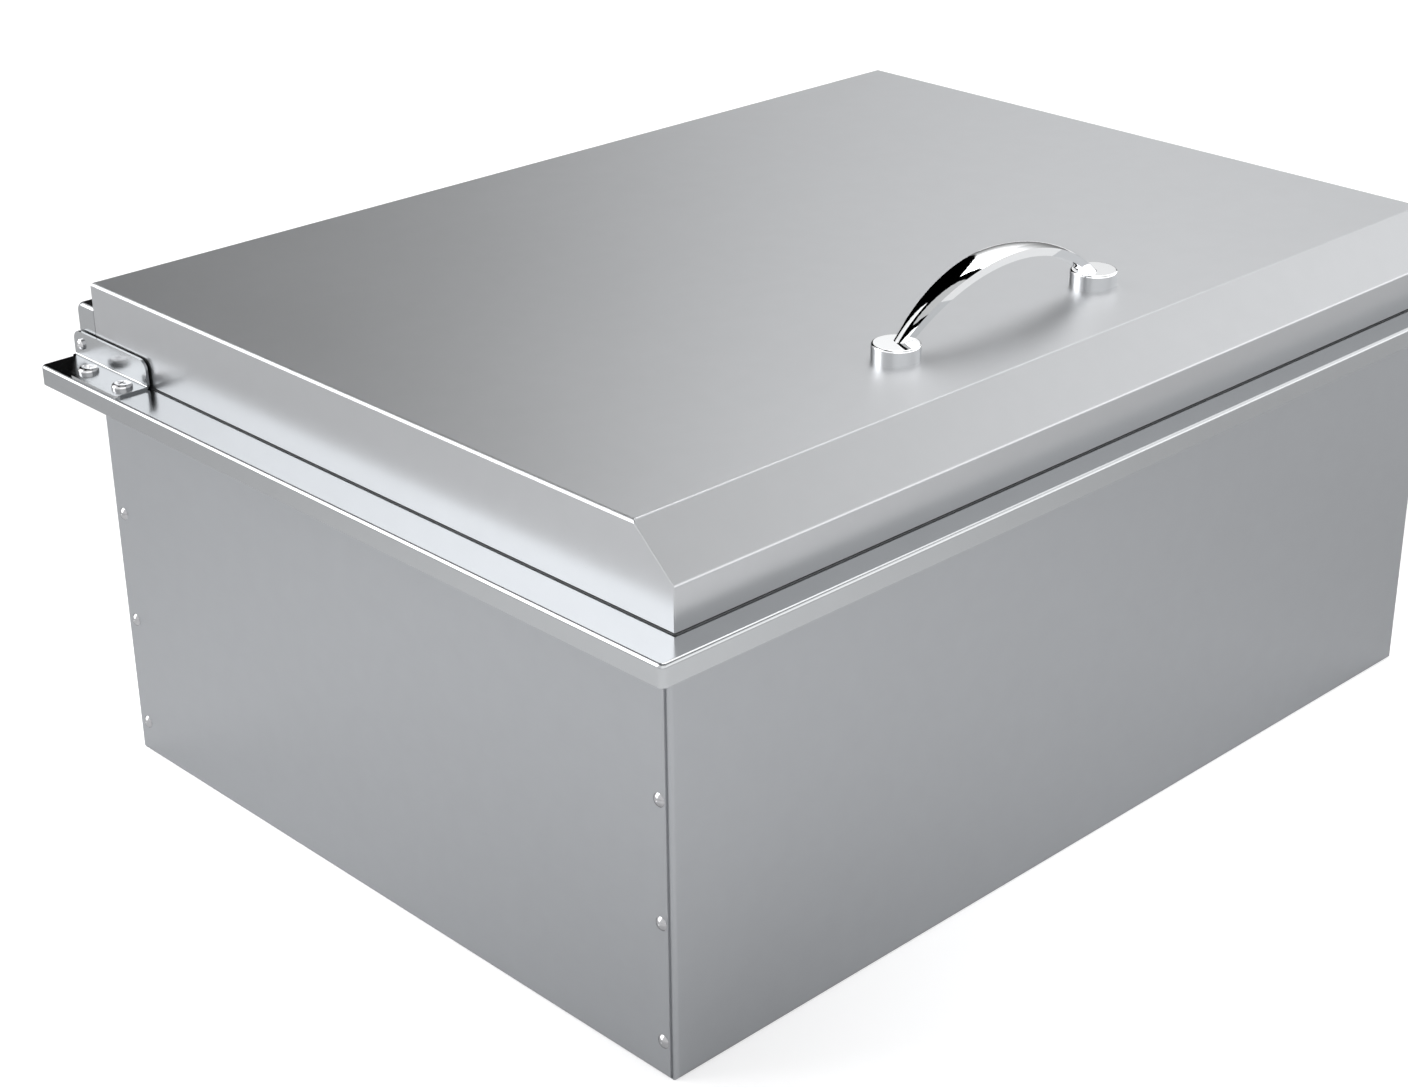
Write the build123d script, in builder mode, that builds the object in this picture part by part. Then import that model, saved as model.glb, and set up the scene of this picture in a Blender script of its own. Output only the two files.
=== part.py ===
"""Drop-in ice bin: an insulated stainless tub that hangs by its rim, with a hinged lid.

Millimetres. +X runs along the long front, from left to right, +Y to the rear and +Z up.
The origin is on the base plane, below the middle of the rim.
"""
import math
import os

from build123d import *

os.makedirs("parts", exist_ok=True)

# Casing and rim
body_length = 630.0
body_depth = 466.0
rim_height = 248.3
side_overhang = 27.1
front_overhang = 25.9
rear_overhang = 14.4
lip_height = 11.5
sheet = 1.2
rim_corner = 3.0
rim_bend = 2.0
panel_bend = 2.4
return_width = 20.0
side_setback = 3.0
seam_gap = 0.2
overrun = 5.0

# Rivets, counted from the casing's front and rear faces and from the base
rivet_front_inset = 7.4
rivet_rear_inset = 10.1
rivet_first = 20.5
rivet_pitch = 67.8
rivet_rows = 3
rivet_head_radius = 3.75
rivet_head_height = 1.7
rivet_radius = 2.0
rivet_tail_radius = 3.0
rivet_tail = 2.0

# Tub, whose margin is measured from the casing's sides
tub_margin = 30.0
tub_corner = 25.0
tub_cove = 15.0
tub_floor = 52.4
tub_flange = 12.0
collar_height = 8.0
sump_radius = 50.0
sump_depth = 8.0
sump_cove = 5.0
foam_gap = 0.2

# Base tray
base_recess = 26.0
tray_inset = 12.0
tray_corner = 4.8
tray_bend = 1.8

# Drain
cup_radius = 22.0
cup_bore = 19.0
cup_floor = 4.0
cup_bottom = 30.0
drain_flange_radius = 34.0
drain_flange = 3.0
gasket = 2.0
thread_radius = 16.7
tail_bore = 12.5
tail_radius = 16.0
tail_length = 11.0
tail_end = 4.0
nut_across_flats = 46.0
nut_height = 8.0
washer_radius = 27.0
thread_gap = 0.1
strainer_gap = 0.3
strainer_hole = 1.8
strainer_ring = 6.0
strainer_outer_ring = 12.5
strainer_sheet = 1.5
strainer_holes = 6
strainer_outer_holes = 12

# Plug
plug_gap = 0.5
plug_taper = 1.4
plug_depth = 9.0
plug_cap_radius = 24.0
plug_cap = 3.5
pull_stem_radius = 3.0
pull_stem = 5.0
pull_radius = 9.0
pull_height = 7.0
pull_round = 2.5
plug_seat = 0.3

# Lid
lid_side_overhang = 3.1
lid_front_overhang = 8.6
lid_rear_inset = 7.8
lid_gap = 1.0
lid_height = 46.4
lid_front_height = 22.7
lid_slope = 26.5
lid_bend = 0.8
lid_corner = 0.6
lid_hem = 12.0
liner_height = 12.0
liner_corner = 4.0
liner_bend = 2.0
bumper_radius = 5.0
bumper_gap = 0.3
bumper_inset = 8.0

# Handle
handle_shift = -10.4
handle_setback = 68.7
handle_pitch = 160.0
foot_radius = 13.0
foot_height = 8.5
foot_round = 1.2
bow_rise = 31.3
bow_width = 16.4
bow_end_width = 6.5
bow_side = 4.4
bow_crown = 1.5
bow_seat = 3.5
bow_gap = 0.15
bow_sections = 13
handle_screw_radius = 2.5
handle_screw_head = 4.8
handle_screw_head_height = 3.0
handle_screw_grip = 4.2
handle_washer_radius = 8.0
handle_washer = 1.2

# Hinges, whose places are measured from the casing's rear face
bracket_sheet = 1.5
bracket_length = 72.0
bracket_overhang = 11.5
bracket_height = 16.2
bracket_foot = 21.2
bracket_bend = 1.0
bracket_round = 6.0
bracket_corner = 3.0
bracket_clip_margin = 1.2
bracket_clip_width = 18.0
bracket_screw_setback = 9.4
bracket_screw_pitch = 33.7
bracket_screw_inset = 10.0
screw_radius = 2.5
screw_head_radius = 5.7
screw_head_height = 2.8
screw_crown = 1.6
screw_length = 8.5
screw_nut_height = 4.0
screw_nut_flats = 8.0
hinge_gap = 1.2
pivot_overhang = 4.0
pivot_height = 8.9
pivot_radius = 2.5
pivot_head_radius = 3.2
pivot_head_height = 2.2
pivot_tail_radius = 4.0
pivot_tail = 1.5
pivot_gap = 0.05
pivot_end_gap = 0.2
pivot_washer = 1.0
pivot_washer_radius = 5.5
ear_sheet = 1.5
ear_overhang = 10.0
ear_top = 32.7
ear_bottom = 3.6
ear_width = 20.0
ear_bend = 2.5
ear_round = 6.0

# Planes and edges worked out from the sizes above
rim_length = body_length + 2 * side_overhang
rim_depth = body_depth + front_overhang + rear_overhang
body_center_y = (front_overhang - rear_overhang) / 2
body_front = body_center_y - body_depth / 2
body_rear = body_center_y + body_depth / 2
body_side = body_length / 2
opening_length = body_length - 2 * tub_margin
opening_depth = body_depth - 2 * tub_margin
rim_under = rim_height - sheet
lid_length = body_length + 2 * lid_side_overhang
lid_side = lid_length / 2
lid_front = body_front - lid_front_overhang
lid_rear = body_rear - lid_rear_inset
lid_bottom = rim_height + lid_gap
lid_top = lid_bottom + lid_height
lid_center_y = (lid_front + lid_rear) / 2
sump_floor = tub_floor - sump_depth
flange_bottom = sump_floor + gasket
flange_top = flange_bottom + drain_flange
tray_top = base_recess + sheet
handle_y = body_front + handle_setback
plate_inner = -lid_side - hinge_gap
plate_outer = plate_inner - bracket_sheet
bracket_rear = body_rear + bracket_overhang
bracket_front = bracket_rear - bracket_length
pivot_y = body_rear + pivot_overhang
pivot_z = rim_height + pivot_height
ear_rear = body_rear + ear_overhang
foot_outer = plate_inner - bracket_foot
screw_x = foot_outer + bracket_screw_inset
screw_y = bracket_front + bracket_screw_setback
screw_places = [(screw_x, screw_y + count * bracket_screw_pitch) for count in range(2)]


def across(y):
    """A plane square to the Y axis at a given y, with X to the right and Z up."""
    return Plane.XZ.offset(-y)


def leftward(x, y, z):
    """A plane at a point, whose normal points out of the left side."""
    return Plane(origin=(x, y, z), x_dir=(0, 1, 0), z_dir=(-1, 0, 0))


def opening_outline(z, grow):
    """The tub's opening as a sketch at a height, grown by a distance all round."""
    with BuildSketch(Plane.XY.offset(z)) as outline:
        with Locations((0, body_center_y)):
            RectangleRounded(opening_length + 2 * grow, opening_depth + 2 * grow, tub_corner + grow)
    return outline.sketch


def dome_arc(radius, height, base):
    """The half outline of a round head: from its edge, at a height of base, up to its crown."""
    sphere = (radius**2 + height**2) / (2 * height)
    half_turn = math.asin(radius / sphere) / 2
    middle = (sphere * math.sin(half_turn), base + height - sphere + sphere * math.cos(half_turn))
    return ThreePointArc((radius, base), middle, (0, base + height))


def write(piece, label):
    """Name a finished piece and write it."""
    piece.label = label
    export_step(piece, f"parts/{label}.step")


def mirrored(piece):
    """The right-hand twin of a left-hand piece."""
    with BuildPart() as twin:
        mirror(piece, about=Plane.YZ)
    return twin.part


# Rim: flange, lip and the collar round the opening
with BuildPart() as rim_frame:
    with BuildSketch(Plane.XY.offset(rim_height - lip_height)):
        RectangleRounded(rim_length, rim_depth, rim_corner)
    extrude(amount=lip_height)
    fillet(rim_frame.faces().sort_by(Axis.Z)[-1].edges(), rim_bend)
    offset(amount=-sheet, openings=rim_frame.faces().sort_by(Axis.Z)[0])
    extrude(opening_outline(rim_under, sheet), amount=sheet + collar_height)
    extrude(opening_outline(rim_under, 0), amount=sheet + collar_height, mode=Mode.SUBTRACT)
    with BuildSketch(Plane.XY.offset(rim_under)):
        with Locations(*[(side * x, y) for side in (-1, 1) for x, y in screw_places]):
            Circle(screw_radius)
    extrude(amount=sheet, mode=Mode.SUBTRACT)
write(rim_frame.part, "rim_frame")


def tub_form(grow):
    """The tub's hollow with its coved floor and sump, grown by a distance all round."""
    with BuildPart() as form:
        extrude(opening_outline(tub_floor - grow, grow), amount=rim_under - tub_floor + grow)
        fillet(form.faces().sort_by(Axis.Z)[0].edges(), tub_cove + grow)
        with BuildSketch(Plane.XY.offset(sump_floor - grow)):
            with Locations((0, body_center_y)):
                Circle(sump_radius + grow)
        extrude(amount=sump_depth)
        fillet(form.faces().sort_by(Axis.Z)[0].edges(), sump_cove + grow)
    return form.part


# Tub, with the flange that is welded under the rim
with BuildPart() as inner_tub:
    add(tub_form(sheet))
    extrude(opening_outline(rim_under - sheet, tub_flange), amount=sheet)
    add(tub_form(0), mode=Mode.SUBTRACT)
    with BuildSketch(Plane.XY.offset(sump_floor - sheet)):
        with Locations((0, body_center_y)):
            Circle(cup_radius + strainer_gap)
    extrude(amount=sheet, mode=Mode.SUBTRACT)
write(inner_tub.part, "inner_tub")


def end_panel(face_y, inward):
    """The front or rear panel: its edges bend round the corners and under the base."""
    with BuildPart() as panel:
        with BuildSketch(Plane.XY):
            with Locations((0, face_y + inward * return_width / 2)):
                Rectangle(body_length - 2 * sheet, return_width)
        extrude(amount=rim_under)
        outside = panel.faces().sort_by(Axis.Y)[0 if inward > 0 else -1]
        bends = outside.edges().filter_by(Axis.Z) + outside.edges().sort_by(Axis.Z)[:1]
        fillet(bends, panel_bend)
        top = panel.faces().sort_by(Axis.Z)[-1]
        inside = panel.faces().filter_by(Axis.Y).sort_by(Axis.Y)[-1 if inward > 0 else 0]
        offset(amount=-sheet, openings=[top, inside])
        notch = return_width - side_setback + seam_gap + overrun
        notch_y = face_y + inward * (side_setback - seam_gap + notch / 2)
        for side in (-1, 1):
            with BuildSketch(Plane.XY):
                with Locations((side * (body_side - return_width / 2), notch_y)):
                    Rectangle(return_width + 2 * seam_gap, notch)
            extrude(amount=panel_bend, mode=Mode.SUBTRACT)
            with Locations(*[leftward(side * body_side, y, z) for y, z in rivet_places()]):
                Cylinder(rivet_radius, 2 * return_width, mode=Mode.SUBTRACT)
    return panel.part


def rivet_places():
    """Where the rivets of one side stand: y and z of each."""
    columns = (body_front + rivet_front_inset, body_rear - rivet_rear_inset)
    return [(y, rivet_first + row * rivet_pitch) for y in columns for row in range(rivet_rows)]


write(end_panel(body_front, 1), "front_panel")
write(end_panel(body_rear, -1), "rear_panel")

# Left side panel, laid over the returns of the front and rear panels
with BuildPart() as left_side_panel:
    with BuildSketch(Plane.XY):
        with Locations((-body_side + return_width / 2, body_center_y)):
            Rectangle(return_width, body_depth - 2 * side_setback)
    extrude(amount=rim_under)
    outside = left_side_panel.faces().sort_by(Axis.X)[0]
    fillet(outside.edges().sort_by(Axis.Z)[0], panel_bend)
    ends = left_side_panel.faces().filter_by(Axis.Y)
    inner = left_side_panel.faces().filter_by(Axis.X).sort_by(Axis.X)[-1]
    top = left_side_panel.faces().sort_by(Axis.Z)[-1]
    offset(amount=-sheet, openings=[top, inner] + ends)
    with Locations(*[leftward(-body_side, y, z) for y, z in rivet_places()]):
        Cylinder(rivet_radius, 2 * return_width, mode=Mode.SUBTRACT)
write(left_side_panel.part, "left_side_panel")
write(mirrored(left_side_panel.part), "right_side_panel")

# One rivet: dome outside, shank through two sheets, upset tail inside
with BuildPart() as rivet:
    with BuildSketch(Plane.XZ):
        with BuildLine():
            Line((0, rivet_head_height), (0, -2 * sheet - rivet_tail))
            Line((0, -2 * sheet - rivet_tail), (rivet_tail_radius, -2 * sheet - rivet_tail))
            Line((rivet_tail_radius, -2 * sheet - rivet_tail), (rivet_tail_radius, -2 * sheet))
            Line((rivet_tail_radius, -2 * sheet), (rivet_radius, -2 * sheet))
            Line((rivet_radius, -2 * sheet), (rivet_radius, 0))
            Line((rivet_radius, 0), (rivet_head_radius, 0))
            dome_arc(rivet_head_radius, rivet_head_height, 0)
        make_face()
    revolve(axis=Axis.Z)

with BuildPart() as left_rivets:
    with Locations(*[leftward(-body_side, y, z) for y, z in rivet_places()]):
        add(rivet.part)
write(left_rivets.part, "left_rivets")
write(mirrored(left_rivets.part), "right_rivets")


def tray_form(grow):
    """The base recess that the tray leaves below it, grown by a distance all round."""
    with BuildPart() as form:
        with BuildSketch(Plane.XY.offset(sheet)):
            with Locations((0, body_center_y)):
                length = body_length - 2 * (tray_inset + sheet - grow)
                depth = body_depth - 2 * (tray_inset + sheet - grow)
                RectangleRounded(length, depth, tray_corner + grow)
        extrude(amount=base_recess - sheet + grow)
        fillet(form.faces().sort_by(Axis.Z)[-1].edges(), tray_bend + grow)
    return form.part


# Base tray: stands on the panels' bottom returns and closes the casing
with BuildPart() as bottom_panel:
    add(tray_form(sheet))
    add(tray_form(0), mode=Mode.SUBTRACT)
    with BuildSketch(Plane.XY.offset(base_recess)):
        with Locations((0, body_center_y)):
            Circle(thread_radius + strainer_gap)
    extrude(amount=sheet, mode=Mode.SUBTRACT)
write(bottom_panel.part, "bottom_panel")

# Foam between the casing and the tub
with BuildPart() as tub_insulation:
    with BuildSketch(Plane.XY.offset(tray_top)):
        with Locations((0, body_center_y)):
            Rectangle(body_length - 4 * sheet - 2 * foam_gap, body_depth - 2 * sheet - 2 * foam_gap)
    extrude(amount=rim_under - sheet - tray_top - foam_gap)
    fillet(tub_insulation.edges().filter_by(Axis.Z), panel_bend)
    add(tub_form(sheet + foam_gap), mode=Mode.SUBTRACT)
    with BuildSketch(Plane.XY.offset(tray_top)):
        with Locations((0, body_center_y)):
            Circle(cup_radius + strainer_gap)
    extrude(amount=sump_floor - tray_top, mode=Mode.SUBTRACT)
    for side in (-1, 1):
        with Locations(*[leftward(side * body_side, y, z) for y, z in rivet_places()]):
            Cylinder(rivet_tail_radius + foam_gap, 2 * (2 * sheet + rivet_tail + foam_gap), mode=Mode.SUBTRACT)
write(tub_insulation.part, "tub_insulation")


def turned(outline, label):
    """Make and write a piece turned about the drain's axis, from its radii and heights."""
    with BuildPart() as piece:
        with BuildSketch(Plane.XZ):
            with BuildLine():
                Polyline(*outline, close=True)
            make_face()
        revolve(axis=Axis.Z)
    with BuildPart() as placed:
        with Locations((0, body_center_y, 0)):
            add(piece.part)
    write(placed.part, label)


# Drain: flanged cup with a threaded neck, held by a nut under the base tray, and a plain tail for a hose
turned(
    [
        (tail_bore, tail_end),
        (tail_radius, tail_end),
        (tail_radius, tail_end + tail_length),
        (thread_radius, tail_end + tail_length),
        (thread_radius, cup_bottom),
        (cup_radius, cup_bottom),
        (cup_radius, flange_bottom),
        (drain_flange_radius, flange_bottom),
        (drain_flange_radius, flange_top - drain_flange / 2),
        (drain_flange_radius - drain_flange / 2, flange_top),
        (cup_bore, flange_top),
        (cup_bore, cup_bottom + cup_floor),
        (tail_bore, cup_bottom + cup_floor),
    ],
    "drain_body",
)
turned(
    [
        (cup_radius + strainer_gap, sump_floor),
        (drain_flange_radius, sump_floor),
        (drain_flange_radius, flange_bottom),
        (cup_radius + strainer_gap, flange_bottom),
    ],
    "drain_gasket",
)
washer_bottom = base_recess - gasket
turned(
    [
        (thread_radius + thread_gap, washer_bottom),
        (washer_radius, washer_bottom),
        (washer_radius, base_recess),
        (thread_radius + thread_gap, base_recess),
    ],
    "drain_washer",
)

with BuildPart() as drain_locknut:
    with BuildSketch(Plane.XY.offset(washer_bottom - nut_height)):
        with Locations((0, body_center_y)):
            RegularPolygon(nut_across_flats / 2, 6, major_radius=False)
            Circle(thread_radius + thread_gap, mode=Mode.SUBTRACT)
    extrude(amount=nut_height)
write(drain_locknut.part, "drain_locknut")

with BuildPart() as drain_strainer:
    with BuildSketch(Plane.XY.offset(cup_bottom + cup_floor)):
        with Locations((0, body_center_y)):
            Circle(cup_bore - strainer_gap)
            Circle(strainer_hole, mode=Mode.SUBTRACT)
            with PolarLocations(strainer_ring, strainer_holes):
                Circle(strainer_hole, mode=Mode.SUBTRACT)
            with PolarLocations(strainer_outer_ring, strainer_outer_holes):
                Circle(strainer_hole, mode=Mode.SUBTRACT)
    extrude(amount=strainer_sheet)
write(drain_strainer.part, "drain_strainer")

# Plug: a tapered stopper under a cap, with a knob to pull it by
plug_radius = cup_bore - plug_gap
cap_bottom = flange_top + plug_seat
cap_top = cap_bottom + plug_cap
turned(
    [
        (0, cap_bottom - plug_depth),
        (plug_radius - plug_taper, cap_bottom - plug_depth),
        (plug_radius, cap_bottom),
        (plug_cap_radius, cap_bottom),
        (plug_cap_radius, cap_top - plug_cap / 2),
        (plug_cap_radius - plug_cap, cap_top),
        (0, cap_top),
    ],
    "drain_plug",
)
pull_bottom = cap_top + pull_stem
with BuildPart() as plug_pull:
    with BuildSketch(Plane.XY.offset(cap_top)):
        with Locations((0, body_center_y)):
            Circle(pull_stem_radius)
    extrude(amount=pull_stem)
    with BuildSketch(Plane.XY.offset(pull_bottom)):
        with Locations((0, body_center_y)):
            Circle(pull_radius)
    extrude(amount=pull_height)
    rims = plug_pull.edges().filter_by(GeomType.CIRCLE).group_by(SortBy.RADIUS)[-1]
    fillet(rims, pull_round)
write(plug_pull.part, "plug_pull")


def lid_form(bottom, inset, bend, corner=0):
    """The lid's solid shape above a height, drawn in by a distance: front, slope and flat top."""
    slope_run = math.hypot(lid_slope, lid_height - lid_front_height)
    front_top = lid_bottom + lid_front_height - inset * (slope_run - lid_height + lid_front_height) / lid_slope
    slope_top = lid_front + lid_slope + inset * (slope_run - lid_slope) / (lid_height - lid_front_height)
    with BuildPart() as form:
        with BuildSketch(Plane.YZ):
            with BuildLine():
                Polyline(
                    (lid_front + inset, bottom),
                    (lid_front + inset, front_top),
                    (slope_top, lid_top - inset),
                    (lid_rear - inset, lid_top - inset),
                    (lid_rear - inset, bottom),
                    close=True,
                )
            make_face()
        extrude(amount=lid_side - inset, both=True)
        fillet(form.faces().sort_by(Axis.Z)[-1].edges(), bend)
        fillet(form.edges().filter_by(Axis.X).group_by(Axis.Y)[0].sort_by(Axis.Z)[-1], bend)
        if corner:
            fillet(form.faces().filter_by(Axis.X).edges() - form.edges().filter_by(Axis.Y), corner)
    return form.part


# Lid cover: folded sheet, open below, with a hem turned in round its lower edge
with BuildPart() as lid_cover:
    add(lid_form(lid_bottom, 0, lid_bend + sheet, lid_corner))
    add(lid_form(lid_bottom + sheet, sheet, lid_bend), mode=Mode.SUBTRACT)
    with BuildSketch(Plane.XY.offset(lid_bottom)):
        with Locations((0, lid_center_y)):
            Rectangle(lid_length - 2 * lid_hem, lid_rear - lid_front - 2 * lid_hem)
    extrude(amount=sheet, mode=Mode.SUBTRACT)
    with Locations(*[(handle_shift + side * handle_pitch / 2, handle_y, lid_top) for side in (-1, 1)]):
        Cylinder(handle_screw_radius, 2 * overrun, mode=Mode.SUBTRACT)
write(lid_cover.part, "lid_cover")

# Lid liner: a shallow pan that stands on the hem
liner_bottom = lid_bottom + sheet
liner_top = liner_bottom + liner_height


def liner_form(inset):
    """The liner's solid shape, drawn in by a distance from its outside."""
    with BuildPart() as form:
        with BuildSketch(Plane.XY.offset(liner_bottom)):
            with Locations((0, lid_center_y)):
                gap = 2 * (sheet + foam_gap + inset)
                RectangleRounded(lid_length - gap, lid_rear - lid_front - gap, liner_corner - inset)
        extrude(amount=liner_height - inset)
        fillet(form.faces().sort_by(Axis.Z)[-1].edges(), liner_bend - inset)
    return form.part


with BuildPart() as lid_liner:
    add(liner_form(0))
    add(liner_form(sheet), mode=Mode.SUBTRACT)
write(lid_liner.part, "lid_liner")

# Lid foam, with pockets for the handle's screws
with BuildPart() as lid_insulation:
    add(lid_form(liner_top, sheet + foam_gap, lid_bend))
    pocket = handle_washer + handle_screw_head_height + 2 * foam_gap
    with BuildSketch(Plane.XY.offset(lid_top - sheet - pocket)):
        with Locations(*[(handle_shift + side * handle_pitch / 2, handle_y) for side in (-1, 1)]):
            Circle(handle_washer_radius + foam_gap)
    extrude(amount=pocket, mode=Mode.SUBTRACT)
write(lid_insulation.part, "lid_insulation")

# Bumpers under the lid's hem
with BuildPart() as lid_bumpers:
    with BuildSketch(Plane.XY.offset(rim_height + bumper_gap)):
        with Locations((0, lid_center_y)):
            with GridLocations(lid_length - 2 * bumper_inset, lid_rear - lid_front - 2 * bumper_inset, 2, 2):
                Circle(bumper_radius)
    extrude(amount=lid_gap - bumper_gap)
write(lid_bumpers.part, "lid_bumpers")

# Handle: an arched strip, crowned on top and widest in its middle, let into two feet
half_pitch = handle_pitch / 2
bow_radius = (half_pitch**2 + bow_rise**2) / (2 * bow_rise)
bow_center_z = lid_top + foot_height + bow_rise - bow_radius
bow_half_angle = math.degrees(math.asin(half_pitch / bow_radius))
bow_overrun = math.degrees(2 * bow_seat / bow_radius)


def bow_form(grow):
    """The handle's arched strip, grown by a distance on every side."""
    with BuildPart() as form:
        for step in range(bow_sections):
            turn = (bow_half_angle + bow_overrun) * (2 * step / (bow_sections - 1) - 1)
            share = min(abs(turn) / bow_half_angle, 1)
            half_width = (bow_end_width + (bow_width - bow_end_width) * (1 - share**2)) / 2 + grow
            lean = math.radians(turn)
            foot = bow_radius - bow_side - bow_crown
            place = Plane(
                origin=(
                    handle_shift + foot * math.sin(lean),
                    handle_y,
                    bow_center_z + foot * math.cos(lean),
                ),
                x_dir=(0, 1, 0),
                z_dir=(math.cos(lean), 0, -math.sin(lean)),
            )
            with BuildSketch(place):
                with BuildLine():
                    Line((-half_width, -grow), (half_width, -grow))
                    Line((half_width, -grow), (half_width, bow_side))
                    ThreePointArc((half_width, bow_side), (0, bow_side + bow_crown + grow), (-half_width, bow_side))
                    Line((-half_width, bow_side), (-half_width, -grow))
                make_face()
        loft()
        split(bisect_by=Plane.XY.offset(lid_top + foot_height - bow_seat - grow), keep=Keep.TOP)
    return form.part


write(bow_form(0), "handle_bow")
bow_socket = bow_form(bow_gap)

for side, label in ((-1, "left_handle_foot"), (1, "right_handle_foot")):
    with BuildPart() as handle_foot:
        with BuildSketch(Plane.XY.offset(lid_top)):
            with Locations((handle_shift + side * half_pitch, handle_y)):
                Circle(foot_radius)
        extrude(amount=foot_height)
        fillet(handle_foot.faces().sort_by(Axis.Z)[-1].edges(), foot_round)
        add(bow_socket, mode=Mode.SUBTRACT)
        with BuildSketch(Plane.XY.offset(lid_top)):
            with Locations((handle_shift + side * half_pitch, handle_y)):
                Circle(handle_screw_radius)
        extrude(amount=handle_screw_grip, mode=Mode.SUBTRACT)
    write(handle_foot.part, label)

with BuildPart() as handle_washers:
    with BuildSketch(Plane.XY.offset(lid_top - sheet - handle_washer)):
        with Locations(*[(handle_shift + side * half_pitch, handle_y) for side in (-1, 1)]):
            Circle(handle_washer_radius)
            Circle(handle_screw_radius, mode=Mode.SUBTRACT)
    extrude(amount=handle_washer)
write(handle_washers.part, "handle_washers")

with BuildPart() as handle_screws:
    head_top = lid_top - sheet - handle_washer
    with BuildSketch(Plane.XY.offset(head_top - handle_screw_head_height)):
        with Locations(*[(handle_shift + side * half_pitch, handle_y) for side in (-1, 1)]):
            Circle(handle_screw_head)
    extrude(amount=handle_screw_head_height)
    with BuildSketch(Plane.XY.offset(head_top)):
        with Locations(*[(handle_shift + side * half_pitch, handle_y) for side in (-1, 1)]):
            Circle(handle_screw_radius)
    extrude(amount=handle_washer + sheet + handle_screw_grip)
write(handle_screws.part, "handle_screws")

# Hinge bracket: angle bracket on the flange, clipped at the rear of its foot
with BuildPart() as left_hinge_bracket:
    with BuildSketch(across(bracket_front)):
        with BuildLine():
            half = bracket_sheet / 2
            FilletPolyline(
                (foot_outer, rim_height + half),
                (plate_inner - half, rim_height + half),
                (plate_inner - half, rim_height + bracket_height),
                radius=bracket_bend + half,
            )
        trace(line_width=bracket_sheet)
    extrude(amount=bracket_front - bracket_rear)
    plate_tops = left_hinge_bracket.edges().filter_by(Axis.X).group_by(Axis.Z)[-1]
    fillet(plate_tops, bracket_round)
    foot_front = left_hinge_bracket.edges().filter_by(Axis.Z).group_by(Axis.X)[0].sort_by(Axis.Y)[0]
    fillet(foot_front, bracket_corner)
    with BuildSketch(Plane.XY.offset(rim_height)):
        with BuildLine():
            Polyline(
                (foot_outer, screw_places[-1][1] + bracket_clip_margin),
                (foot_outer + bracket_clip_width, bracket_rear),
                (foot_outer, bracket_rear),
                close=True,
            )
        make_face()
    extrude(amount=bracket_sheet, mode=Mode.SUBTRACT)
    with Locations(*[(x, y, rim_height) for x, y in screw_places]):
        Cylinder(screw_radius, 2 * overrun, mode=Mode.SUBTRACT)
    with Locations(leftward(plate_outer, pivot_y, pivot_z)):
        Cylinder(pivot_radius, 2 * overrun, mode=Mode.SUBTRACT)
write(left_hinge_bracket.part, "left_hinge_bracket")
write(mirrored(left_hinge_bracket.part), "right_hinge_bracket")

# Bracket screws: low round heads above the foot, nuts under the flange
foot_top = rim_height + bracket_sheet
with BuildPart() as left_bracket_screws:
    with BuildSketch(Plane.XY.offset(foot_top)):
        with Locations(*screw_places):
            Circle(screw_head_radius)
    extrude(amount=screw_head_height)
    crowns = left_bracket_screws.edges().group_by(Axis.Z)[-1]
    fillet(crowns, screw_crown)
    with BuildSketch(Plane.XY.offset(foot_top - screw_length)):
        with Locations(*screw_places):
            Circle(screw_radius)
    extrude(amount=screw_length)
write(left_bracket_screws.part, "left_bracket_screws")
write(mirrored(left_bracket_screws.part), "right_bracket_screws")

with BuildPart() as left_bracket_nuts:
    with BuildSketch(Plane.XY.offset(rim_under - screw_nut_height)):
        with Locations(*screw_places):
            RegularPolygon(screw_nut_flats / 2, 6, major_radius=False)
            Circle(screw_radius, mode=Mode.SUBTRACT)
    extrude(amount=screw_nut_height)
write(left_bracket_nuts.part, "left_bracket_nuts")
write(mirrored(left_bracket_nuts.part), "right_bracket_nuts")

# Lid ear: a folded cap behind the lid, open towards the middle and below
ear_length = ear_rear - lid_rear
with BuildPart() as left_hinge_ear:
    with BuildSketch(Plane.XY.offset(rim_height + ear_bottom)):
        with Locations((-lid_side + ear_width / 2, lid_rear + ear_length / 2)):
            Rectangle(ear_width, ear_length)
    extrude(amount=ear_top - ear_bottom)
    fillet(left_hinge_ear.edges().filter_by(Axis.X).group_by(Axis.Z)[-1].sort_by(Axis.Y)[-1], ear_round)
    outside = left_hinge_ear.faces().sort_by(Axis.X)[0]
    below = outside.edges().group_by(Axis.Z)[0]
    beside = outside.edges().group_by(Axis.Y)[0]
    fillet(outside.edges() - below - beside, ear_bend)
    inner = left_hinge_ear.faces().filter_by(Axis.X).sort_by(Axis.X)[-1]
    offset(amount=-ear_sheet, openings=[inner, left_hinge_ear.faces().sort_by(Axis.Z)[0]])
    with Locations(leftward(-lid_side, pivot_y, pivot_z)):
        Cylinder(pivot_radius + pivot_gap, 2 * overrun, mode=Mode.SUBTRACT)
write(left_hinge_ear.part, "left_hinge_ear")
write(mirrored(left_hinge_ear.part), "right_hinge_ear")

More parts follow.
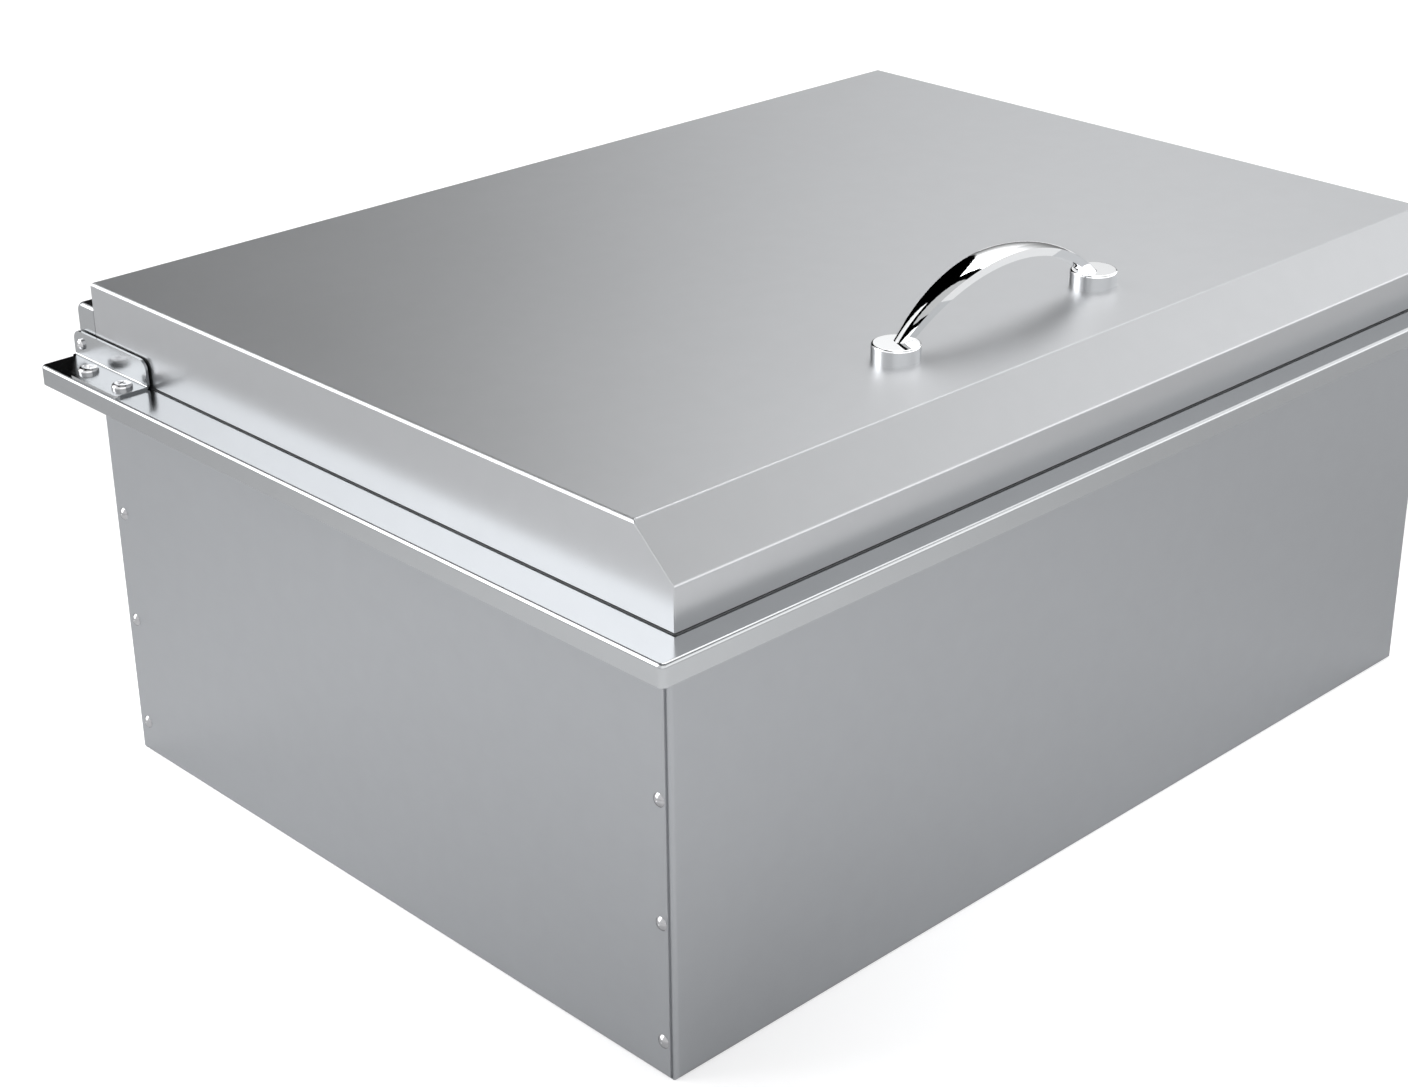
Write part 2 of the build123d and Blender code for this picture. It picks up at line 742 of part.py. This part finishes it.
# Pivot pin: round head outside the bracket, upset tail inside the ear
pivot_grip = bracket_sheet + hinge_gap + ear_sheet + pivot_end_gap
with BuildPart() as pivot_pin:
    with BuildSketch(Plane.XZ):
        with BuildLine():
            Line((0, pivot_head_height), (0, -pivot_grip - pivot_tail))
            Line((0, -pivot_grip - pivot_tail), (pivot_tail_radius, -pivot_grip - pivot_tail))
            Line((pivot_tail_radius, -pivot_grip - pivot_tail), (pivot_tail_radius, -pivot_grip))
            Line((pivot_tail_radius, -pivot_grip), (pivot_radius, -pivot_grip))
            Line((pivot_radius, -pivot_grip), (pivot_radius, 0))
            Line((pivot_radius, 0), (pivot_head_radius, 0))
            Line((pivot_head_radius, 0), (pivot_head_radius, pivot_head_height / 2))
            dome_arc(pivot_head_radius, pivot_head_height / 2, pivot_head_height / 2)
        make_face()
    revolve(axis=Axis.Z)
with BuildPart() as left_pivot_pin:
    with Locations(leftward(plate_outer, pivot_y, pivot_z)):
        add(pivot_pin.part)
write(left_pivot_pin.part, "left_pivot_pin")
write(mirrored(left_pivot_pin.part), "right_pivot_pin")

with BuildPart() as left_pivot_washer:
    with BuildSketch(leftward(plate_inner + pivot_washer, pivot_y, pivot_z)):
        Circle(pivot_washer_radius)
        Circle(pivot_radius + pivot_gap, mode=Mode.SUBTRACT)
    extrude(amount=pivot_washer)
write(left_pivot_washer.part, "left_pivot_washer")
write(mirrored(left_pivot_washer.part), "right_pivot_washer")
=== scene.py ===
"""The look of the drop-in ice bin: satin stainless sheet, a polished handle and soft studio light.

Metres. +X runs along the long front, +Y to the rear and +Z up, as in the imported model.
"""
import math

import bmesh
import bpy
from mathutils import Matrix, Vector


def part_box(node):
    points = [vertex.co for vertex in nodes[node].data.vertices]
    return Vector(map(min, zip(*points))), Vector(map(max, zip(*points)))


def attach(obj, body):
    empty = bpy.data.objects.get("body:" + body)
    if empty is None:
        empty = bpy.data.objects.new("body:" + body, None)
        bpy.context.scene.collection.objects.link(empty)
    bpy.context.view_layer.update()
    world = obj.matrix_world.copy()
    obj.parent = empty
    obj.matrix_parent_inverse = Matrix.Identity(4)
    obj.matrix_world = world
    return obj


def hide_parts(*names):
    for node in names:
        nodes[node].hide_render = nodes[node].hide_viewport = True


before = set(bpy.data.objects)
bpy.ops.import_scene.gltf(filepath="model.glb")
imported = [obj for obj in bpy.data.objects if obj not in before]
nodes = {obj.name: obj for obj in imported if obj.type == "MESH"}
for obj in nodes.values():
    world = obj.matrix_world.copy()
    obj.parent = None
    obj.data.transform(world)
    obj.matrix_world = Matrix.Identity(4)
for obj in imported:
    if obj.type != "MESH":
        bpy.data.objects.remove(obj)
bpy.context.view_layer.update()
scene = bpy.context.scene
scene.view_settings.view_transform = "Standard"

# Camera, from the perspective of the photograph
photo_width = 1408
photo_height = 1088
focal_pixels = 2581.3
centre_pixel_x = 760.2
centre_pixel_y = 569.1
camera_place = (-1.0061, -0.9782, 0.7688)
camera_heading = 45.047
camera_pitch = 25.756
sensor_width = 36.0
quarter_turn = 90

camera_data = bpy.data.cameras.new("camera")
camera = bpy.data.objects.new("camera", camera_data)
scene.collection.objects.link(camera)
scene.camera = camera
camera_data.sensor_width = sensor_width
camera_data.lens = focal_pixels * sensor_width / photo_width
camera_data.shift_x = (photo_width / 2 - centre_pixel_x) / photo_width
camera_data.shift_y = (centre_pixel_y - photo_height / 2) / photo_width
camera.location = camera_place
camera_tilt = math.radians(quarter_turn - camera_pitch)
camera_turn = math.radians(camera_heading - quarter_turn)
camera.rotation_euler = (camera_tilt, 0, camera_turn)

# Sockets of a Mix node that mixes colours
mix_factor = 0
mix_first_color = 6
mix_second_color = 7
mix_color_result = 2


class Graph:
    """A small helper that adds shader nodes and links them."""

    def __init__(self, tree):
        self.tree = tree
        tree.nodes.clear()

    def add(self, kind, inputs=None, **settings):
        """Add a node, with its settings and with inputs that are values or other nodes' outputs."""
        node = self.tree.nodes.new(kind)
        for name, value in settings.items():
            setattr(node, name, value)
        for name, value in (inputs or {}).items():
            socket = node.inputs[name]
            if isinstance(value, bpy.types.NodeSocket):
                self.tree.links.new(value, socket)
            else:
                socket.default_value = value
        return node

    def math(self, operation, *values, clamp=False):
        """The result of a Math node on values or outputs."""
        node = self.add("ShaderNodeMath", dict(enumerate(values)), operation=operation, use_clamp=clamp)
        return node.outputs[0]

    def span(self, value, low, high):
        """An output from 0 to 1 spread over a range of values."""
        inputs = {"Value": value, "To Min": low, "To Max": high}
        return self.add("ShaderNodeMapRange", inputs).outputs["Result"]

    def fade(self, value, start, end, kind="SMOOTHSTEP"):
        """0 up to the start and 1 from the end on, with a smooth or another kind of change between."""
        inputs = {"Value": value, "From Min": start, "From Max": end}
        return self.add("ShaderNodeMapRange", inputs, interpolation_type=kind).outputs["Result"]

    def noise(self, place, scale, detail, roughness=0.5):
        """The grey value of a noise texture."""
        inputs = {"Vector": place, "Scale": scale, "Detail": detail, "Roughness": roughness}
        return self.add("ShaderNodeTexNoise", inputs).outputs["Fac"]

    def bump(self, height, strength, depth):
        """A normal that a height map bends."""
        inputs = {"Height": height, "Strength": strength, "Distance": depth}
        return self.add("ShaderNodeBump", inputs).outputs["Normal"]

    def shades(self, factor, color, tint):
        """A colour that varies either way by a share of itself."""
        darker = [channel * (1 - tint) for channel in color]
        lighter = [channel * (1 + tint) for channel in color]
        inputs = {mix_factor: factor, mix_first_color: (*darker, 1), mix_second_color: (*lighter, 1)}
        return self.add("ShaderNodeMix", inputs, data_type="RGBA").outputs[mix_color_result]

    def rays(self, *kinds):
        """1 for rays of the given kinds, and 0 for all others."""
        path = self.add("ShaderNodeLightPath")
        seen = 0
        for kind in kinds:
            seen = self.math("MAXIMUM", path.outputs[f"Is {kind} Ray"], seen)
        return seen


def new_graph(name):
    """A new material and the graph of its nodes."""
    material = bpy.data.materials.new(name)
    material.use_nodes = True
    return material, Graph(material.node_tree)


def new_object(name, form, material):
    """A new object with a bmesh's faces and one material."""
    mesh = bpy.data.meshes.new(name)
    form.to_mesh(mesh)
    form.free()
    mesh.materials.append(material)
    thing = bpy.data.objects.new(name, mesh)
    scene.collection.objects.link(thing)
    return thing


# World: a white backdrop with bright walls and dark flags before it, and a soft light in a dark ceiling
wall_edge = 1.0
ceiling_foot = 60.0
ceiling_light_foot = 72.0
ceiling_light_strength = 0.6
white_strength = 1.0
white_color = (1, 1, 1, 1)
full_turn = 360.0

# Right and left heading in degrees from +X towards +Y, foot and top elevation, strength at foot and at top,
# and the power by which the one strength turns into the other
walls = (
    (345, 375, 0, 60, 1.6, 2.1, 1),
    (15, 30, 0, 60, 0.2, 4.4, 2),
    (30, 48, 0, 60, 0.2, 7.5, 2),
    (48, 87, 0, 60, 0.0, 0.0, 1),
    (87, 112, 0, 60, 0.6, 1.2, 1),
    (112, 150, 0, 45, 5.4, 5.6, 1),
    (150, 210, 0, 60, 1.2, 1.2, 1),
    (210, 285, 0, 60, 1.7, 1.7, 1),
    (285, 315, 0, 60, 2.5, 0.3, 1),
    (315, 345, 0, 41, 2.8, 1.4, 1),
    (315, 345, 42, 60, 0.0, 0.0, 1),
)

world = bpy.data.worlds.new("studio")
scene.world = world
world.use_nodes = True
sky = Graph(world.node_tree)
way = sky.add("ShaderNodeSeparateXYZ", {"Vector": sky.add("ShaderNodeTexCoord").outputs["Generated"]})
sky_heading = sky.math("DEGREES", sky.math("ARCTAN2", way.outputs["Y"], way.outputs["X"]))
sky_rise = sky.math("DEGREES", sky.math("ARCSINE", way.outputs["Z"]))


def wall(right, left, foot, top, foot_strength, top_strength, power):
    """The light of one wall, and how much of the view it covers, with a narrow soft edge."""
    width = left - right
    turned = sky.math("SUBTRACT", sky_heading, right - wall_edge / 2)
    turned = sky.math("FLOORED_MODULO", turned, full_turn)
    from_right = sky.fade(turned, 0, wall_edge)
    to_left = sky.fade(turned, width + wall_edge, width)
    above_foot = sky.fade(sky_rise, foot - wall_edge, foot)
    below_top = sky.fade(sky_rise, top + wall_edge, top)
    sides = sky.math("MULTIPLY", from_right, to_left)
    ends = sky.math("MULTIPLY", above_foot, below_top)
    cover = sky.math("MULTIPLY", sides, ends)
    height = sky.fade(sky_rise, foot, top, kind="LINEAR")
    strength = sky.span(sky.math("POWER", height, power), foot_strength, top_strength)
    return sky.math("MULTIPLY", cover, strength), cover


ceiling_light = sky.fade(sky_rise, ceiling_light_foot, ceiling_light_foot + wall_edge)
studio_light = sky.math("MULTIPLY", ceiling_light, ceiling_light_strength)
open_view = sky.fade(sky_rise, ceiling_foot + wall_edge, ceiling_foot)
for row in walls:
    light, cover = wall(*row)
    studio_light = sky.math("ADD", light, studio_light)
    open_view = sky.math("SUBTRACT", open_view, cover, clamp=True)
backdrop = sky.math("MULTIPLY", sky.rays("Camera", "Glossy", "Transmission"), open_view)
studio_light = sky.math("ADD", studio_light, backdrop)
behind = {"Factor": sky.rays("Camera"), "A": studio_light, "B": white_strength}
sky_strength = sky.add("ShaderNodeMix", behind).outputs["Result"]
sky_color = sky.add("ShaderNodeBackground", {"Color": white_color, "Strength": sky_strength})
sky.add("ShaderNodeOutputWorld", {"Surface": sky_color.outputs["Background"]})

# Floor: pale, seen as white, with the object's soft shadow; its colour is painted darker at the body's near
# corner, lighter in a ring round it and darker again further out, painted shade and light that the metal
# panels reflect
floor_size = 12.0
floor_color = (0.765, 0.765, 0.77)
floor_glow = 0.15
floor_seen_glow = 0.43
# Centre, shares and distances of the painted shade and light on the floor's colour
painted_shade_centre = (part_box("left_side_panel")[0].x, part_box("front_panel")[0].y, 0)
painted_shade_middle_share = 0.7
painted_light_ring_share = 1.17
painted_shade_far_share = 0.8
painted_shade_start = -0.1
painted_light_ring = 0.4
painted_shade_reach = 1.0

# Painted shade and light: the floor's colour is scaled by the distance from the body's near corner
floor_material, graph = new_graph("floor")
floor_place = graph.add("ShaderNodeTexCoord").outputs["Object"]
distance_inputs = {0: floor_place, 1: painted_shade_centre}
painted_light_distance = graph.add("ShaderNodeVectorMath", distance_inputs, operation="DISTANCE").outputs["Value"]
inner = graph.span(graph.fade(painted_light_distance, painted_shade_start, painted_light_ring), painted_shade_middle_share, painted_light_ring_share)
outer = graph.span(graph.fade(painted_light_distance, painted_light_ring, painted_shade_reach), 1, painted_shade_far_share / painted_light_ring_share)
# The floor's colour times the pattern of painted shade and light
painted_light_inputs = {0: floor_color, "Scale": graph.math("MULTIPLY", inner, outer)}
floor_painted_light_color = graph.add("ShaderNodeVectorMath", painted_light_inputs, operation="SCALE").outputs[0]
floor_diffuse = graph.add("ShaderNodeBsdfDiffuse", {"Color": floor_painted_light_color})
seen_glow = graph.span(graph.rays("Camera"), floor_glow, floor_seen_glow)
floor_strength = graph.math("MULTIPLY", graph.rays("Camera", "Glossy", "Transmission"), seen_glow)
floor_emission = graph.add("ShaderNodeEmission", {"Strength": floor_strength})
floor_sum = graph.add("ShaderNodeAddShader", {0: floor_diffuse.outputs[0], 1: floor_emission.outputs[0]})
graph.add("ShaderNodeOutputMaterial", {"Surface": floor_sum.outputs[0]})

floor_form = bmesh.new()
bmesh.ops.create_grid(floor_form, x_segments=1, y_segments=1, size=floor_size)
new_object("floor", floor_form, floor_material)

# Metals, with the noise's scale along each axis for their grain
along_x = (6, 900, 900)
along_y = (900, 6, 900)
no_grain = (1, 1, 1)
grain_depth = 0.00002
grain_strength = 0.3
grain_noise = {"scale": 1.0, "detail": 3.0, "roughness": 0.6}
cloud_noise = {"scale": 9.0, "detail": 4.0, "roughness": 0.55}
spot_noise = {"scale": 70.0, "detail": 2.0}


def metal(name, color, roughness, grain=None, smudge=0.03, tint=0.02, edge=0.65, top_roughness=None):
    """A bare metal: fine grain along one way, faint smudges and uneven gloss."""
    material, graph = new_graph(name)
    surface = graph.add("ShaderNodeTexCoord")
    place = surface.outputs["Object"]
    stretched = graph.add("ShaderNodeMapping", {"Vector": place, "Scale": grain or no_grain})
    lines = graph.noise(stretched.outputs["Vector"], **grain_noise)
    clouds = graph.noise(place, **cloud_noise)
    spots = graph.noise(place, **spot_noise)
    worn = roughness - smudge / 2
    if top_roughness:
        facing = graph.add("ShaderNodeSeparateXYZ", {"Vector": surface.outputs["Normal"]})
        worn = graph.span(facing.outputs["Z"], worn, top_roughness - smudge / 2)
    gloss = graph.math("MULTIPLY_ADD", clouds, smudge, worn)
    inputs = {
        "Base Color": graph.shades(spots, color, tint),
        "Metallic": 1.0,
        "Roughness": graph.math("MULTIPLY_ADD", lines, smudge, gloss),
        "Specular Tint": (edge, edge, edge, 1),
    }
    if grain:
        inputs["Normal"] = graph.bump(lines, grain_strength, grain_depth)
    shader = graph.add("ShaderNodeBsdfPrincipled", inputs)
    graph.add("ShaderNodeOutputMaterial", {"Surface": shader.outputs["BSDF"]})
    return material


# Plastic, rubber and foam
plain_detail = 4.0
plain_strength = 0.5
plain_tint = 0.06
gloss_spread = 0.08


def plain(name, color, roughness, bump_scale, bump_depth):
    """A plastic, rubber or foam, with a fine uneven surface."""
    material, graph = new_graph(name)
    place = graph.add("ShaderNodeTexCoord").outputs["Object"]
    grains = graph.noise(place, bump_scale, plain_detail)
    shader = graph.add("ShaderNodeBsdfPrincipled", {
        "Base Color": graph.shades(grains, color, plain_tint),
        "Roughness": graph.span(grains, roughness - gloss_spread, roughness + gloss_spread),
        "Normal": graph.bump(grains, plain_strength, bump_depth),
    })
    graph.add("ShaderNodeOutputMaterial", {"Surface": shader.outputs["BSDF"]})
    return material


satin = (0.37, 0.38, 0.395)
bright = (0.42, 0.43, 0.44)
lid_color = (0.465, 0.473, 0.485)
metals = {
    "lid_steel": {"color": lid_color, "roughness": 0.27, "grain": along_x, "top_roughness": 0.44},
    "rim_steel": {"color": bright, "roughness": 0.16, "grain": along_x, "edge": 0.5},
    "tub_steel": {"color": satin, "roughness": 0.28, "grain": along_x},
    "front_steel": {"color": satin, "roughness": 0.42, "grain": along_x},
    "side_steel": {"color": satin, "roughness": 0.42, "grain": along_y},
    "base_steel": {"color": satin, "roughness": 0.38, "grain": along_x},
    "bracket_steel": {"color": bright, "roughness": 0.2, "grain": along_y},
    "fastener_steel": {"color": (0.6, 0.6, 0.61), "roughness": 0.12},
    "rivet_steel": {"color": (0.4, 0.4, 0.41), "roughness": 0.14},
    "zinc": {"color": (0.5, 0.5, 0.48), "roughness": 0.3},
    "drain_steel": {"color": bright, "roughness": 0.22},
    "brass": {"color": (0.62, 0.45, 0.2), "roughness": 0.28},
    "chrome": {"color": (0.86, 0.87, 0.88), "roughness": 0.03, "smudge": 0.015, "tint": 0.005, "edge": 1.0},
}
plains = {
    "rubber": {"color": (0.025, 0.025, 0.028), "roughness": 0.6, "bump_scale": 900, "bump_depth": 0.00003},
    # The seal's grey is partly painted shade: it sets the tone of the dark gap line under the lid
    "seal_painted_gap_shade": {"color": (0.42, 0.42, 0.425), "roughness": 0.55, "bump_scale": 900, "bump_depth": 0.00002},
    "nylon": {"color": (0.72, 0.72, 0.69), "roughness": 0.45, "bump_scale": 500, "bump_depth": 0.00002},
    "foam": {"color": (0.72, 0.6, 0.34), "roughness": 0.9, "bump_scale": 420, "bump_depth": 0.0004},
}
materials = {name: metal(name, **look) for name, look in metals.items()}
materials.update({name: plain(name, **look) for name, look in plains.items()})

finishes = {
    "rim_frame": "rim_steel",
    "inner_tub": "tub_steel",
    "front_panel": "front_steel",
    "rear_panel": "front_steel",
    "left_side_panel": "side_steel",
    "right_side_panel": "side_steel",
    "bottom_panel": "base_steel",
    "tub_insulation": "foam",
    "lid_insulation": "foam",
    "lid_cover": "lid_steel",
    "lid_liner": "tub_steel",
    "lid_bumpers": "rubber",
    "left_rivets": "rivet_steel",
    "right_rivets": "rivet_steel",
    "left_hinge_bracket": "bracket_steel",
    "right_hinge_bracket": "bracket_steel",
    "left_hinge_ear": "bracket_steel",
    "right_hinge_ear": "bracket_steel",
    "left_bracket_screws": "fastener_steel",
    "right_bracket_screws": "fastener_steel",
    "left_bracket_nuts": "zinc",
    "right_bracket_nuts": "zinc",
    "left_pivot_pin": "fastener_steel",
    "right_pivot_pin": "fastener_steel",
    "left_pivot_washer": "nylon",
    "right_pivot_washer": "nylon",
    "handle_bow": "chrome",
    "left_handle_foot": "chrome",
    "right_handle_foot": "chrome",
    "handle_screws": "zinc",
    "handle_washers": "zinc",
    "drain_body": "drain_steel",
    "drain_strainer": "drain_steel",
    "drain_locknut": "brass",
    "drain_gasket": "rubber",
    "drain_washer": "rubber",
    "drain_plug": "rubber",
    "plug_pull": "drain_steel",
}
for node_name, material_name in finishes.items():
    nodes[node_name].data.materials.clear()
    nodes[node_name].data.materials.append(materials[material_name])

# Seal under the lid's hem: a thin grey strip with a rounded outer edge, a gasket whose grey is set to the
# tone of the gap line, so that it also stands for painted shade in the gap under the lid
seal_inset = 0.0008
seal_corner = 0.002
seal_corner_steps = 5

# Inset from the seal's outer face, and height against the hem
seal_profile = (
    (0, 0),
    (0, -0.00045),
    (0.00012, -0.0007),
    (0.00035, -0.0008),
    (0.0017, -0.0008),
    (0.002, -0.0006),
    (0.002, 0),
)
lid_low, lid_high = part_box("lid_cover")
seal_left = lid_low.x + seal_inset + seal_corner
seal_right = lid_high.x - seal_inset - seal_corner
seal_front = lid_low.y + seal_inset + seal_corner
seal_rear = lid_high.y - seal_inset - seal_corner
seal_corners = (
    (seal_right, seal_rear),
    (seal_left, seal_rear),
    (seal_left, seal_front),
    (seal_right, seal_front),
)

seal_form = bmesh.new()
seal_sections = []
for corner, (corner_x, corner_y) in enumerate(seal_corners):
    centre = Vector((corner_x, corner_y, lid_low.z))
    for step in range(seal_corner_steps + 1):
        angle = (corner + step / seal_corner_steps) * math.pi / 2
        outward = Vector((math.cos(angle), math.sin(angle), 0))
        seal_sections.append([
            seal_form.verts.new(centre + outward * (seal_corner - inset) + Vector((0, 0, height)))
            for inset, height in seal_profile
        ])
for count, section in enumerate(seal_sections):
    before = seal_sections[count - 1]
    for edge in range(len(section)):
        seal_form.faces.new((before[edge - 1], before[edge], section[edge], section[edge - 1]))
bmesh.ops.recalc_face_normals(seal_form, faces=seal_form.faces)
# The grey strip stands in part for painted shade in the gap under the lid
lid_seal_painted_gap_shade = new_object("lid_seal_painted_gap_shade", seal_form, materials["seal_painted_gap_shade"])
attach(lid_seal_painted_gap_shade, "lid")

# Cross-recess screws on the hinge brackets, each pair in the place of its plain CAD screws
head_radius = 0.0057
head_height = 0.0028
head_edge = 0.001
head_flat_share = 0.6
shank_radius = 0.0025
shank_chamfer = 0.0005
recess_reach = 0.0029
recess_width = 0.00085
recess_depth = 0.0017
recess_floor_share = 0.55
recess_degrees = (17, 62)
crown_steps = 6
turned_sides = 40
crease_degrees = 35


def ring(form, centre, radius, height):
    """A ring of vertices round a vertical line."""
    return [
        form.verts.new((
            centre.x + radius * math.cos(math.tau * count / turned_sides),
            centre.y + radius * math.sin(math.tau * count / turned_sides),
            height,
        ))
        for count in range(turned_sides)
    ]


def skirt(form, upper, lower):
    """Faces between two loops of as many vertices."""
    for count in range(len(upper)):
        after = (count + 1) % len(upper)
        form.faces.new((upper[count], lower[count], lower[after], upper[after]))


def fill(form, loops):
    """Flat faces that fill one loop, or the space between two."""
    edges = []
    for loop in loops:
        for count, corner in enumerate(loop):
            ends = (corner, loop[count - 1])
            edges.append(form.edges.get(ends) or form.edges.new(ends))
    bmesh.ops.triangle_fill(form, edges=edges, use_beauty=True)


def cross(form, centre, turn, share, height):
    """The outline of a screw's cross recess, at a share of its full size."""
    wide = recess_width * share
    long = recess_reach * share
    outline = []
    for quarter in range(4):
        for x, y in ((long, -wide), (long, wide), (wide, wide)):
            angle = math.atan2(y, x) + quarter * math.pi / 2 + turn
            reach = math.hypot(x, y)
            outline.append(form.verts.new((
                centre.x + reach * math.cos(angle),
                centre.y + reach * math.sin(angle),
                height,
            )))
    return outline


def screw(form, centre, top, end, turn):
    """A pan-head screw, from the top of its head down to the end of its shank."""
    rings = [ring(form, centre, head_radius * head_flat_share, top)]
    for step in range(1, crown_steps + 1):
        angle = math.pi / 2 * step / crown_steps
        radius = head_radius * (head_flat_share + (1 - head_flat_share) * math.sin(angle))
        drop = (head_height - head_edge) * (1 - math.cos(angle))
        rings.append(ring(form, centre, radius, top - drop))
    rings.append(ring(form, centre, head_radius, top - head_height))
    rings.append(ring(form, centre, shank_radius, top - head_height))
    rings.append(ring(form, centre, shank_radius, end + shank_chamfer))
    rings.append(ring(form, centre, shank_radius - shank_chamfer, end))
    for upper, lower in zip(rings, rings[1:]):
        skirt(form, upper, lower)
    rim = cross(form, centre, turn, 1, top)
    bottom = cross(form, centre, turn, recess_floor_share, top - recess_depth)
    skirt(form, rim, bottom)
    fill(form, [rings[0], rim])
    fill(form, [bottom])
    fill(form, [rings[-1]])


for side in ("left", "right"):
    plain_screws = side + "_bracket_screws"
    screws_low, screws_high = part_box(plain_screws)
    middle_x = (screws_low.x + screws_high.x) / 2
    screw_places = (screws_low.y + head_radius, screws_high.y - head_radius)
    screws_form = bmesh.new()
    for y, turn in zip(screw_places, recess_degrees):
        centre = Vector((middle_x, y, 0))
        screw(screws_form, centre, screws_high.z, screws_low.z, math.radians(turn))
    bmesh.ops.recalc_face_normals(screws_form, faces=screws_form.faces)
    screws = new_object(side + "_cross_screws", screws_form, materials["fastener_steel"])
    screws.data.polygons.foreach_set("use_smooth", [True] * len(screws.data.polygons))
    screws.data.set_sharp_from_angle(angle=math.radians(crease_degrees))
    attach(screws, "bin")
    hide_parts(plain_screws)
